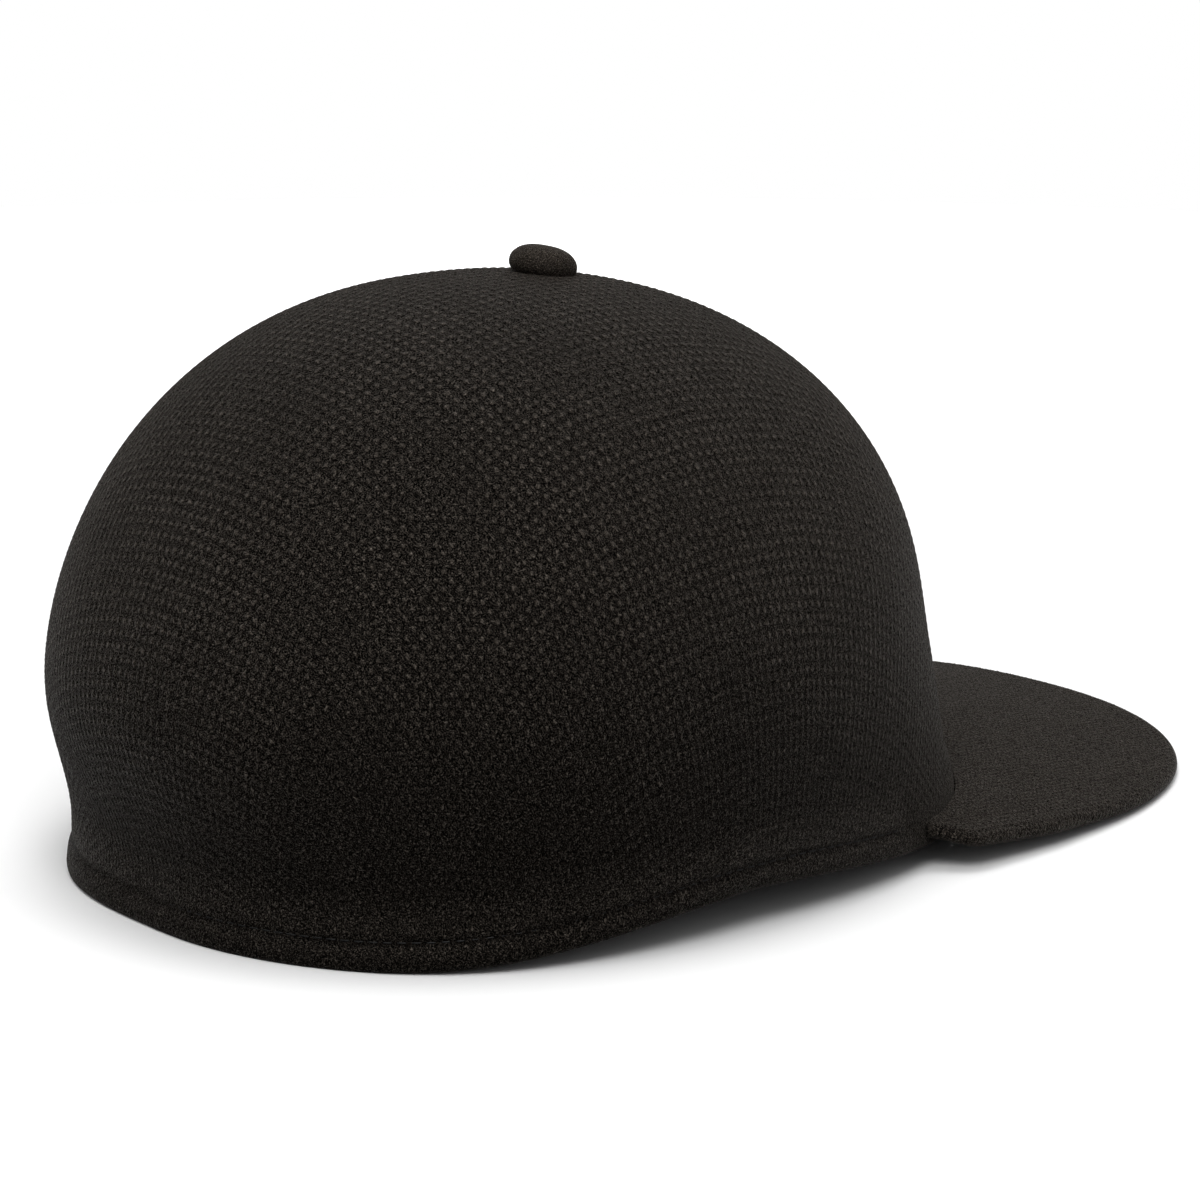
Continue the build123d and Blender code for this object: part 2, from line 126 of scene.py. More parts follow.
# Camera and room: angles in degrees, the lens and sensor in millimetres, lights in watts
AZIMUTH, ELEVATION = 227.75, 13.6
DISTANCE = 0.986
TARGET = np.array([0, 0, 0.055])
AIM_RIGHT, AIM_DOWN = 20.35 * MM, 1.74 * MM
LENS, SENSOR = 140, 36
FLOOR_RADIUS = 0.9
FLOOR_SIDES = 96
GLOW_START, GLOW = 0.2, 0.6
SKY_LOW, SKY_HIGH = 0.04, 0.94
OVERHEAD_HEIGHT, OVERHEAD_SIZE, OVERHEAD_WATTS = 1.5, 0.7, 6.8
SOFTBOX_ELEVATION = 48.0
SOFTBOX_DISTANCE = 1.3
SOFTBOX_SIZE, SOFTBOX_WATTS, REFLECTION_WATTS = 0.6, 6.0, 34


# ---------------------------------------------------------------- meshes

def new_object(name, verts, faces, smooth=True):
    """An object in the scene from lists of corners and faces."""
    mesh = bpy.data.meshes.new(name)
    mesh.from_pydata(verts, [], faces)
    mesh.validate()
    mesh.polygons.foreach_set("use_smooth", np.full(len(mesh.polygons), smooth))
    obj = bpy.data.objects.new(name, mesh)
    bpy.context.scene.collection.objects.link(obj)
    return obj


def grid_object(name, grid, attributes=None, closed=True, looped=False):
    """A quad mesh from rows of points.

    Each row is joined end to end if closed, and the last row to the first if looped.
    """
    rows, columns = grid.shape[:2]
    mesh = bpy.data.meshes.new(name)
    count = rows * columns
    mesh.vertices.add(count)
    mesh.vertices.foreach_set("co", grid.reshape(-1).astype(np.float32))
    wide = columns if closed else columns - 1
    tall = rows if looped else rows - 1
    r, c = np.meshgrid(np.arange(tall), np.arange(wide), indexing="ij")
    after, below = (c + 1) % columns, (r + 1) % rows
    row, next_row = r * columns, below * columns
    quads = np.stack([row + c, next_row + c, next_row + after, row + after], -1).reshape(-1, 4)
    mesh.loops.add(quads.size)
    mesh.loops.foreach_set("vertex_index", quads.reshape(-1).astype(np.int32))
    mesh.polygons.add(len(quads))
    mesh.polygons.foreach_set("loop_start", np.arange(0, quads.size, 4, dtype=np.int32))
    mesh.polygons.foreach_set("use_smooth", np.ones(len(quads), bool))
    mesh.update(calc_edges=True)
    for key, values in (attributes or {}).items():
        kind = "FLOAT_VECTOR" if values.ndim == 3 else "FLOAT"
        field = "vector" if values.ndim == 3 else "value"
        table = mesh.attributes.new(key, kind, "POINT").data
        table.foreach_set(field, values.reshape(-1).astype(np.float32))
    obj = bpy.data.objects.new(name, mesh)
    bpy.context.scene.collection.objects.link(obj)
    return obj


def surface(node):
    """A ray-casting tree of a CAD node."""
    mesh = NODES[node].data
    verts = [v.co.copy() for v in mesh.vertices]
    return BVHTree.FromPolygons(verts, [tuple(p.vertices) for p in mesh.polygons])


def blurred(field, sigma_rows, sigma_columns):
    """Gaussian blur of a table whose columns wrap round and whose rows end."""
    def kernel(sigma):
        reach = int(3 * sigma) + 1
        k = np.exp(-0.5 * (np.arange(-reach, reach + 1) / sigma) ** 2)
        return k / k.sum(), reach

    k, reach = kernel(sigma_columns)
    wrapped = np.concatenate([field[:, -reach:], field, field[:, :reach]], axis=1)
    field = np.stack([np.convolve(row, k, "valid") for row in wrapped])
    k, reach = kernel(sigma_rows)
    top = field[1:reach + 1][::-1]
    low = 2 * field[-1] - field[-reach - 1:-1][::-1]
    tall = np.concatenate([top, field, low])
    return np.stack([np.convolve(column, k, "valid") for column in tall.T], axis=1)


def smooth_step(low, high, value):
    """Goes from 0 at low to 1 at high with level ends."""
    t = np.clip((value - low) / (high - low), 0, 1)
    return t * t * (3 - 2 * t)


# ---------------------------------------------------------------- crown

class Meridians:
    """The crown's outer face as curves that run from the top down to the hem, one to a spoke."""

    def __init__(self, node, spokes, steps, heart):
        tree = surface(node)
        angle = np.linspace(0, 2 * math.pi, spokes, endpoint=False)
        spread = np.zeros(spokes)
        radius = np.zeros((steps, spokes))
        for i, a in enumerate(angle):
            out = np.array([math.cos(a), math.sin(a), 0])
            spread[i] = self.hem_angle(tree, heart, out)
            last = 0.0
            for j in range(steps):
                tilt = spread[i] * j / (steps - 1)
                way = out * math.sin(tilt) + np.array([0, 0, math.cos(tilt)])
                found = tree.ray_cast(Vector(heart + way * RAY_START), Vector(-way), RAY_REACH)[0]
                last = (np.array(found) - heart) @ way if found is not None else last
                radius[j, i] = last
        radius[0] = radius[1]
        radius = self.smoothed(radius)
        spread = blurred(np.stack([spread] * 3), 0.3, 3)[1]
        self.angle = np.linspace(0, 2 * math.pi, 2 * spokes, endpoint=False)
        radius = self.doubled(radius)
        spread = self.doubled(spread[None])[0]
        tilt = np.linspace(0, 1, steps)[:, None] * spread
        across = radius * np.sin(tilt)
        self.points = np.stack([
            heart[0] + across * np.cos(self.angle),
            heart[1] + across * np.sin(self.angle),
            heart[2] + radius * np.cos(tilt),
        ], -1)
        self.points[0] = self.points[0].mean(0)
        step = np.linalg.norm(np.diff(self.points, axis=0), axis=-1)
        self.arc = np.concatenate([np.zeros((1, 2 * spokes)), np.cumsum(step, axis=0)])
        self.length = self.arc[-1]

    @staticmethod
    def hem_angle(tree, heart, out):
        """How far down from straight up the hem's lower edge lies, seen from the heart."""
        def wall(z):
            start = heart + out * RAY_START
            found = tree.ray_cast(Vector((start[0], start[1], z)), Vector(-out), RAY_REACH)[0]
            return None if found is None else (np.array(found) - heart) @ out

        low, high = -2 * MM, 20 * MM
        for _ in range(HALVINGS):
            middle = (low + high) / 2
            if wall(middle) is None:
                low = middle
            else:
                high = middle
        return math.pi / 2 + math.atan((heart[2] - high) / wall(high))

    @staticmethod
    def smoothed(radius):
        """Takes the facets of the CAD mesh out, with the rows carried over the top."""
        carried = 19
        half = radius.shape[1] // 2
        over = np.roll(radius[1:carried + 1][::-1], half, axis=1)
        return blurred(np.concatenate([over, radius]), 4, 4)[carried:]

    @staticmethod
    def doubled(table):
        """Twice the columns, with the averages of neighbours between them."""
        between = (table + np.roll(table, -1, axis=1)) / 2
        return np.stack([table, between], -1).reshape(len(table), -1)

    def at(self, arc):
        """Points at given lengths down each spoke, as rows of lengths by spokes."""
        rows = np.empty(arc.shape + (3,))
        for i in range(arc.shape[1]):
            for k in range(3):
                rows[:, i, k] = np.interp(arc[:, i], self.arc[:, i], self.points[:, i, k])
        return rows

    def with_normals(self, arc):
        """Points at the lengths, with the outward normals of the smooth surface there."""
        probe = 1.5 * MM
        down = self.at(np.minimum(arc + probe, self.length)) - self.at(np.maximum(arc - probe, 0))
        here = self.at(arc)
        along = np.roll(here, -6, axis=1) - np.roll(here, 6, axis=1)
        normal = np.cross(down, along)
        size = np.linalg.norm(normal, axis=-1, keepdims=True)
        up = np.broadcast_to(np.array([0, 0, 1.0]), normal.shape)
        return here, np.where(size > 1e-12, normal / np.maximum(size, 1e-12), up)


def knot_height(u, v, pitch):
    """Height of the knit's knots, from -1 between them to 1 on top."""
    return 0.5 * (np.cos(2 * math.pi * u / pitch) + np.cos(2 * math.pi * v / pitch))


def crown_outside(lines):
    """Rows of points down the outside: knots, stitched groove, hem band and its rounded edge."""
    share = np.linspace(0, 1, CROWN_RINGS)[:, None]
    arc = share * lines.length
    base, normal = lines.with_normals(arc)
    u, v = arc * np.cos(lines.angle), arc * np.sin(lines.angle)
    left = lines.length - arc
    relief = knot_height(u, v, KNIT_PITCH) * KNIT_RELIEF * smooth_step(HEM_BAND, 2 * HEM_BAND, left)
    relief += WEAVE_RELIEF * knot_height(u * 1.03 + v, v - u, KNIT_PITCH)
    beside = smooth_step(GROOVE_END - GROOVE_FADE, GROOVE_END, base[..., 1])
    relief -= beside * HEM_GROOVE * np.exp(-((left - HEM_BAND) / GROOVE_WIDTH) ** 2)
    in_band = np.clip(left / HEM_BAND, 0, 1)
    relief += beside * HEM_BULGE * np.sin(math.pi * in_band)
    bite = np.clip(HEM_EDGE - left, 0, HEM_EDGE)
    relief -= HEM_EDGE - np.sqrt(np.maximum(HEM_EDGE**2 - bite**2, 0))
    wander = np.sin(3 * lines.angle + 40 * arc) * np.sin(2 * lines.angle - 25 * arc)
    relief += SWAY * wander * share
    # The third value, the distance from the hem, also places the knit's painted shade and highlights at
    # the hem; over the visor it is pushed out by HEM_FADE so they fade there
    return base + normal * relief[..., None], np.stack([u, v, left + (1 - beside) * HEM_FADE], -1)


def crown_inside(lines):
    """Rows from the hem's edge up its turned leg, over the leg's raw edge and up the lining side.

    Each of the first rows is a height above the hem's edge and a depth in from the outer face.
    """
    depth = 2.7 * MM
    turn = [(0.0, 1.9 * MM), (0.15 * MM, 2.3 * MM), (0.5 * MM, 2.6 * MM)]
    leg = [(d * MM, depth) for d in (1.3, 2.5, 4, 6, 8, 10, 10.7)]
    over = [(HEM_LEG, 2.5 * MM), (HEM_LEG + 0.1 * MM, 2.1 * MM), (HEM_LEG, 1.8 * MM)]
    rest = [(HEM_LEG - 1 * MM, 1.25 * MM), (HEM_LEG + 0.3 * MM, WALL)]
    rows = turn + leg + over + rest
    left = np.array([r[0] for r in rows])[:, None] + np.zeros(len(lines.angle))
    inward = np.array([r[1] for r in rows])[:, None, None]
    near, near_normal = lines.with_normals(lines.length - left)
    low = near - near_normal * inward
    share = np.linspace(1, 0, CROWN_LINING_RINGS)[1:, None]
    arc = share * (lines.length - HEM_LEG - 0.3 * MM)
    far, far_normal = lines.with_normals(arc)
    high = far - far_normal * WALL
    arcs = np.concatenate([lines.length - left, arc])
    knit = np.stack([arcs * np.cos(lines.angle), arcs * np.sin(lines.angle), lines.length - arcs], -1)
    return np.concatenate([low, high]), knit


def make_crown(lines):
    """The knit crown in one closed skin, outside and lining."""
    outside, outside_knit = crown_outside(lines)
    inside, inside_knit = crown_inside(lines)
    grid = np.concatenate([outside, inside])
    knit = np.concatenate([outside_knit, inside_knit])
    crown = grid_object("crown_knit_fabric", grid, {"knit": knit})
    crown.data.materials.append(knit_material("black_knit_crown", KNIT_PITCH))
    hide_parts("crown_knit")
    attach(crown, "cap")


def make_hem_stitches(lines):
    """Thread lying in the hem's groove, one short bar to a stitch."""
    points, turns = 7, 6
    edge = lines.at((lines.length - HEM_BAND)[None])[0]
    _, normal = lines.with_normals((lines.length - HEM_BAND)[None])
    normal = normal[0]
    step = np.linalg.norm(np.roll(edge, -1, axis=0) - edge, axis=1)
    run = np.concatenate([[0], np.cumsum(step)])
    count = int(run[-1] / STITCH_PITCH)
    verts, faces = [], []
    path = np.concatenate([edge, edge[:1]])
    ways = np.concatenate([normal, normal[:1]])
    for i in range(count):
        along = (i + np.linspace(0.12, 0.88, points)) * run[-1] / count
        centre = np.stack([np.interp(along, run, path[:, k]) for k in range(3)], -1)
        if centre[points // 2, 1] < GROOVE_END - 4 * MM:
            continue
        out = np.stack([np.interp(along, run, ways[:, k]) for k in range(3)], -1)
        sink = HEM_GROOVE - 0.12 * MM + 0.3 * MM * np.abs(np.linspace(-1, 1, points)) ** 3
        centre = centre - out * sink[:, None]
        side = np.array([0, 0, 1.0])
        base = len(verts)
        for p, n in zip(centre, out):
            for k in range(turns):
                a = 2 * math.pi * k / turns
                verts.append(tuple(p + STITCH_SIZE * (math.cos(a) * n + math.sin(a) * side)))
        for j in range(points - 1):
            for k in range(turns):
                a, b = base + j * turns + k, base + j * turns + (k + 1) % turns
                faces.append((a, b, b + turns, a + turns))
        faces.append(tuple(base + k for k in range(turns))[::-1])
        faces.append(tuple(base + (points - 1) * turns + k for k in range(turns)))
    stitches = new_object("hem_stitching", verts, faces)
    stitches.data.materials.append(thread_material("black_thread", 5))
    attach(stitches, "cap")


# ---------------------------------------------------------------- visor

def visor_rays(node, centre, spokes):
    """For each direction from the centre, how far out the node starts and ends, seen from above."""
    tree = surface(node)
    angle = np.linspace(-math.pi, 0, spokes)
    stride = 0.4 * MM

    def there(a, r):
        x, y = centre[0] + r * math.cos(a), centre[1] + r * math.sin(a)
        return tree.ray_cast(Vector((x, y, 0.2)), Vector((0, 0, -1)), 0.4)[0] is not None

    def border(a, empty, full):
        for _ in range(14):
            middle = (empty + full) / 2
            if there(a, middle):
                full = middle
            else:
                empty = middle
        return full

    kept = []
    for a in angle:
        steps = np.arange(40 * MM, 140 * MM, stride)
        found = [r for r in steps if there(a, r)]
        if len(found) > 2:
            near = border(a, found[0] - stride, found[0])
            far = border(a, found[-1] + stride, found[-1])
            kept.append((a, near, far))
    return np.array(kept)


def visor_grid(rays, centre, bury):
    """Plan positions in rows from the crown out to the edge, and how far each is from that edge.

    bury is how far the rows start inside the crown's wall.
    """
    angle, near, far = rays.T
    near, far = near - bury, far - VISOR_PULL
    way = np.stack([np.cos(angle), np.sin(angle)], -1)
    outer = centre + way * far[:, None]
    inner = centre + way * near[:, None]
    slope = np.gradient(outer, axis=0)
    normal = np.stack([slope[:, 1], -slope[:, 0]], -1)
    normal /= np.linalg.norm(normal, axis=1, keepdims=True)
    room = np.linalg.norm(outer - inner, axis=1)
    lip = np.minimum(VISOR_LIP, 0.6 * room)[:, None]
    body = np.linspace(0, 1, VISOR_BODY_ROWS, endpoint=False)[:, None, None]
    seam = outer - normal * lip
    rows = [inner + (seam - inner) * body]
    depth = [np.linalg.norm(outer - inner - (seam - inner) * body, axis=-1)]
    straight = np.linspace(1, VISOR_LIP_TURN, VISOR_LIP_ROWS, endpoint=False)
    turning = VISOR_LIP_TURN * (1 - np.sin(np.linspace(0, math.pi / 2, VISOR_TURN_ROWS)))
    for s in np.concatenate([straight, turning]):
        rows.append((outer - normal * lip * s)[None])
        depth.append((lip * s).T)
    return np.concatenate(rows), np.concatenate(depth)


def heights(node, plan, from_above):
    """Where vertical rays meet a node's face, with misses filled in along their column."""
    tree = surface(node)
    start, way = (0.1, Vector((0, 0, -1))) if from_above else (-0.1, Vector((0, 0, 1)))
    table = np.full(plan.shape[:2], np.nan)
    for j in range(plan.shape[1]):
        for i in range(plan.shape[0]):
            found = tree.ray_cast(Vector((plan[i, j, 0], plan[i, j, 1], start)), way, 0.3)[0]
            if found is not None:
                table[i, j] = found[2]
        good = np.flatnonzero(~np.isnan(table[:, j]))
        table[:, j] = np.interp(np.arange(len(table)), good, table[good, j])
    return table


def make_visor():
    """Two knit covers over the board: the top one wraps round the edge to a seam underneath."""
    rays = visor_rays("visor_top_cover", VISOR_CENTRE, VISOR_SPOKES)
    plan, depth = visor_grid(rays, VISOR_CENTRE, VISOR_BURY)
    top = heights("visor_top_cover", plan, True)
    low = heights("visor_under_cover", plan, False)
    middle, half = (top + low) / 2, (top - low) / 2
    reach = np.clip(1 - depth / VISOR_ROUNDING, 0, 1)
    bulge = np.sqrt(np.maximum(1 - reach**2, 0))
    grain = VISOR_GRAIN * RNG.standard_normal(middle.shape)
    upper = middle + half * bulge + grain * bulge**3
    under = middle - half * bulge
    knit = np.stack([plan[..., 0], plan[..., 1], np.full(middle.shape, FAR_FROM_HEM)], -1)
    rows, columns = plan.shape[:2]
    turn = rows - 1 - int(np.argmax(bulge[::-1, columns // 2] > VISOR_SEAM_TURN))

    def skin(height, low_row, high_row, step=1):
        span = slice(low_row, high_row)
        points = np.concatenate([plan[span], height[span, :, None]], -1)[::step]
        marks = knit[span].copy()
        marks[..., 1] += height[span]
        return points, marks[::step]

    outer, outer_knit = skin(upper, 0, rows)
    wrap, wrap_knit = skin(under, turn, rows - 1, -1)
    shared, shared_knit = skin(middle, 0, turn)
    belly, belly_knit = skin(under, 0, turn)
    shared[..., 2] -= VISOR_GAP

    def cover(name, node, parts, marks):
        piece = grid_object(name, np.concatenate(parts), {"knit": np.concatenate(marks)}, closed=False)
        paint = knit_material("black_knit_" + name, VISOR_PITCH, dark=10, light=69, knot_light=0.25)
        piece.data.materials.append(paint)
        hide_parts(node)
        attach(piece, "cap")

    top_parts = [outer, wrap, shared[::-1]]
    top_marks = [outer_knit, wrap_knit, shared_knit[::-1]]
    cover("visor_top_fabric", "visor_top_cover", top_parts, top_marks)
    low_parts = [shared, belly[::-1]]
    low_marks = [shared_knit, belly_knit[::-1]]
    cover("visor_under_fabric", "visor_under_cover", low_parts, low_marks)


# ---------------------------------------------------------------- button

def make_button():
    """A cloth bun: fat rounded sides over a nearly flat seat, leaning forward with the crown."""
    low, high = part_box("button_cover")
    centre = (np.array(low) + np.array(high)) / 2
    tilt = math.radians(BUTTON_LEAN)
    turns, rows = 200, 100
    a = np.linspace(0, 2 * math.pi, turns, endpoint=False)
    t = np.linspace(0.5 * math.pi, -0.5 * math.pi, rows)[:, None]
    power = np.where(t > 0, BUTTON_TOP_POWER, BUTTON_SEAT_POWER)
    across = BUTTON_WIDE / 2 * np.abs(np.cos(t)) ** power
    rise = np.where(t > 0, BUTTON_TOP_SHARE, BUTTON_TOP_SHARE - 1)
    up = BUTTON_TALL * rise * np.abs(np.sin(t))
    lumps = 1 + 0.012 * np.sin(3 * a + 1) + 0.008 * np.sin(5 * a)
    fuzz = BUTTON_FUZZ * RNG.standard_normal((rows, turns))
    x, y = (across + fuzz) * np.cos(a) * lumps, (across + fuzz) * np.sin(a) * lumps
    z = up + 0 * a
    knit = np.stack([x, y + z, np.full(x.shape, FAR_FROM_HEM)], -1)
    y, z = y * math.cos(tilt) - z * math.sin(tilt), y * math.sin(tilt) + z * math.cos(tilt)
    grid = np.stack([x, y, z], -1) + centre - np.array([0, 0, BUTTON_DROP])
    bun = grid_object("button_fabric", grid, {"knit": knit})
    felt = {"dark": 18, "light": 88, "knot_light": 0.05, "depth": 0.1 * MM, "grain": 0.6}
    bun.data.materials.append(knit_material("black_felt_button", 0.9 * MM, **felt))
    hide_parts("button_cover")
    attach(bun, "cap")


# ---------------------------------------------------------------- sewn layers and small soft pieces

def wall_span(tree, angle, low, high):
    """Lowest and highest level at which a wall stands in a direction from the Z axis, or None."""
    out = Vector((math.cos(angle), math.sin(angle), 0))

    def there(z):
        return tree.ray_cast(Vector((0, 0, z)), out, RAY_START)[0] is not None

    def border(missing, found):
        for _ in range(9):
            middle = (missing + found) / 2
            if there(middle):
                found = middle
            else:
                missing = middle
        return found

    margin = 0.05 * MM
    levels = np.linspace(low + margin, high - margin, 60)
    step = levels[1] - levels[0]
    found = [z for z in levels if there(z)]
    if not found:
        return None
    return border(found[0] - step, found[0]), border(found[-1] + step, found[-1])


def swept_layer(node, name, body, material, slot, rows=24, spokes=720, relief=0.0):
    """A sheet or band that stands round the head, rebuilt with rounded edges from its CAD solid."""
    tree = surface(node)
    low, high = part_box(node)
    angle = np.linspace(-math.pi, math.pi, spokes, endpoint=False) + RAY_TURN
    spans = [wall_span(tree, a, low[2], high[2]) for a in angle]
    shown = np.array([span is not None for span in spans])
    full = shown.all()
    if not full:
        start = int(np.flatnonzero(~shown)[0])
        order = (np.arange(spokes) + start) % spokes
        order = order[shown[order]]
        angle, spans = angle[order], [spans[i] for i in order]
    span = np.array(spans).T
    if full:
        span = blurred(np.repeat(span, 2, axis=0), 0.2, 2)[[1, 2]]
    share = np.linspace(0, 1, rows)[:, None]
    level = span[0] + (span[1] - span[0]) * (END_SHARE + (1 - 2 * END_SHARE) * share)
    inner, outer = np.full(level.shape, np.nan), np.full(level.shape, np.nan)
    for j, a in enumerate(angle):
        out = Vector((math.cos(a), math.sin(a), 0))
        for i in range(rows):
            axis = Vector((0, 0, level[i, j]))
            near = tree.ray_cast(axis, out, RAY_START)[0]
            far = tree.ray_cast(axis + out * RAY_START, -out, RAY_START)[0]
            if near is not None and far is not None:
                inner[i, j], outer[i, j] = np.hypot(near[0], near[1]), np.hypot(far[0], far[1])
        for table in (inner, outer):
            good = np.flatnonzero(~np.isnan(table[:, j]))
            table[:, j] = np.interp(np.arange(rows), good, table[good, j])
    if relief:
        inner = inner + relief * RNG.random(inner.shape)
    middle = (inner + outer) / 2
    ends = (middle[:1], middle[-1:])
    reach = np.concatenate([ends[0], outer, ends[1], inner[::-1]])
    height = np.concatenate([span[:1], level, span[1:], level[::-1]])
    if not full:
        for side in (0, -1):
            flat = np.concatenate([ends[0], middle, ends[1], middle[::-1]])
            reach[:, side] = flat[:, side]
    grid = np.stack([reach * np.cos(angle), reach * np.sin(angle), height], -1)
    along = np.cumsum(np.full(len(angle), 2 * math.pi / spokes)) * HEAD_RADIUS
    along, far_off = np.broadcast_to(along, reach.shape), np.full(reach.shape, FAR_FROM_HEM)
    marks = np.stack([along, height, far_off], -1)
    piece = grid_object(name, grid[::-1], {"knit": marks[::-1]}, closed=full, looped=True)
    piece.data.materials.append(material)
    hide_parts(node)
    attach(piece, body)


def tab_patches(node, name, body, material, size, relief):
    """Square hook or loop patches with rounded corners and edges, lying on the dome."""
    tree = surface(node)
    spokes, rings = 96, 20
    angle = np.linspace(0, 2 * math.pi, spokes, endpoint=False)
    power = TAB_ROUNDNESS
    square = (np.abs(np.cos(angle)) ** power + np.abs(np.sin(angle)) ** power) ** (1 / power)
    rim = size / 2 / square * TAB_SHRINK
    grids = []
    for x in TAB_XS:
        for y in TAB_YS:
            share = np.linspace(0, 1, rings)[:, None]
            px, py = x + share * rim * np.cos(angle), y + share * rim * np.sin(angle)
            top, low = np.zeros(px.shape), np.zeros(px.shape)
            for i in range(rings):
                for j in range(spokes):
                    up = tree.ray_cast(Vector((px[i, j], py[i, j], 0.2)), Vector((0, 0, -1)), 0.3)[0]
                    down = tree.ray_cast(Vector((px[i, j], py[i, j], 0)), Vector((0, 0, 1)), 0.3)[0]
                    if up is None:
                        top[i, j], low[i, j] = top[i - 1, j], low[i - 1, j]
                    else:
                        top[i, j], low[i, j] = up[2], down[2]
            middle = (top + low) / 2
            keep = np.sqrt(np.clip(1 - share**TAB_EDGE, 0, 1))
            pile = relief * RNG.random(top.shape)
            upper = np.stack([px, py, middle + (top - middle - pile) * keep], -1)
            lower = np.stack([px, py, middle - (middle - low) * keep], -1)[::-1]
            grids.append(np.concatenate([upper, lower[1:]]))
    objects = [grid_object(f"{name}_{i + 1}", grid) for i, grid in enumerate(grids)]
    for obj in objects:
        obj.data.materials.append(material)
        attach(obj, body)
    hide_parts(node)


def puffed_out(pad):
    """Corners of a pad after pressure has filled its skin, held inside the room it started with."""
    rest = vertex_array(pad)
    cloth = pad.modifiers.new("cloth", "CLOTH")
    cloth.settings.use_pressure = True
    cloth.settings.uniform_pressure_force = PAD_PRESSURE
    cloth.settings.effector_weights.gravity = 0
    cloth.settings.mass = 0.3
    cloth.settings.quality = 5
    cloth.point_cache.frame_start, cloth.point_cache.frame_end = 1, PAD_FRAMES
    scene = bpy.context.scene
    for frame_number in range(1, PAD_FRAMES + 1):
        scene.frame_set(frame_number)
    moved = vertex_array(pad, evaluated=True) - rest
    pad.modifiers.clear()
    scene.frame_set(1)
    outward = rest - PAD_HEART
    outward /= np.linalg.norm(outward, axis=1, keepdims=True)
    moved -= outward * np.maximum((moved * outward).sum(1, keepdims=True), 0)
    travel = np.linalg.norm(moved, axis=1, keepdims=True)
    return rest + moved * np.minimum(1, PAD_TRAVEL / np.maximum(travel, 1e-9))


def stuffed_pad(node, body, material):
    """Foam pads in a cloth skin: the CAD pad's solids puffed out by a short cloth simulation."""
    mesh = NODES[node].data.copy()
    pad = bpy.data.objects.new(f"{node}_foam", mesh)
    bpy.context.scene.collection.objects.link(pad)
    mesh.materials.clear()
    remesh = pad.modifiers.new("remesh", "REMESH")
    remesh.mode = "VOXEL"
    remesh.voxel_size = PAD_GRAIN
    apply_modifiers(pad)
    pad.data.vertices.foreach_set("co", puffed_out(pad).astype(np.float32).reshape(-1))
    smooth = pad.modifiers.new("smooth", "SMOOTH")
    smooth.factor, smooth.iterations = 0.5, 4
    finer = pad.modifiers.new("finer", "SUBSURF")
    finer.levels = finer.render_levels = 1
    apply_modifiers(pad)
    pad.data.polygons.foreach_set("use_smooth", np.ones(len(pad.data.polygons), bool))
    pad.data.materials.append(material)
    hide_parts(node)
    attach(pad, body)


def vertex_array(obj, evaluated=False):
    """An object's corners as rows of x, y and z."""
    source = obj.evaluated_get(bpy.context.evaluated_depsgraph_get()) if evaluated else obj
    co = np.zeros(len(source.data.vertices) * 3, np.float32)
    source.data.vertices.foreach_get("co", co)
    return co.reshape(-1, 3).astype(float)


def apply_modifiers(obj):
    """Makes what the modifiers show into the object's own mesh."""
    graph = bpy.context.evaluated_depsgraph_get()
    graph.update()
    mesh = bpy.data.meshes.new_from_object(obj.evaluated_get(graph))
    obj.modifiers.clear()
    obj.data = mesh


def make_soft_pieces():
    """The hem's inside, the visor's seam tape, the sweatband and everything soft on the insert."""
    weave, terry = woven_material, terry_material
    elastic = weave("ribbed_elastic", 24, 0.9 * MM, 0.0)
    swept_layer("hem_elastic", "hem_elastic_band", "cap", elastic, "elastic", rows=12)
    tape = weave("black_tape_weave", 16, 0.6 * MM, 0.6 * MM)
    swept_layer("visor_seam_tape", "visor_seam_tape_strip", "cap", tape, "black_tape", rows=10)
    net = weave("stiffener_net", 44, 1.5 * MM, 1.5 * MM)
    swept_layer("front_stiffener", "front_stiffener_mesh", "cap", net, "stiffener_mesh", rows=60)
    cloth = weave("backing_cloth", 26, 0.5 * MM, 0.5 * MM)
    swept_layer("sweatband_backing", "sweatband_backing_cloth", "cap", cloth, "black_tape", rows=24)
    towel = {"rows": 110, "spokes": 1440, "relief": 0.22 * MM}
    pile = terry("charcoal_towelling", 44)
    swept_layer("sweatband_face", "sweatband_towelling", "cap", pile, "towelling", **towel)
    binding = weave("binding_tape", 22, 0.5 * MM, 0.7 * MM)
    swept_layer("sweatband_binding", "sweatband_binding_tape", "cap", binding, "black_tape", rows=10)
    satin = weave("white_satin", 205, 0.3 * MM, 0.0, sheen=0.3)
    swept_layer("care_label", "care_label_blank", "cap", satin, "label_satin", rows=20, spokes=2880)
    rubber = rubber_material("soft_rubber", 26)
    swept_layer("shell_trim", "shell_trim_rubber", "insert", rubber, "trim_rubber", rows=16)
    webbing = weave("grey_webbing", 62, 1.2 * MM, 1.0 * MM)
    swept_layer("pull_tab", "pull_tab_webbing", "insert", webbing, "webbing", rows=50, spokes=5760)
    loops = terry("loop_pile", 30)
    tab_patches("loop_tabs", "loop_tab", "cap", loops, LOOP_TAB, 0.12 * MM)
    hooks = hook_material("hook_tape", 34)
    tab_patches("hook_tabs", "hook_tab", "insert", hooks, HOOK_TAB, 0.05 * MM)
    foam = foam_material("grey_foam", 52)
    for node in ("crown_pad", "front_pad", "rear_pad", "side_pads"):
        stuffed_pad(node, "insert", foam)


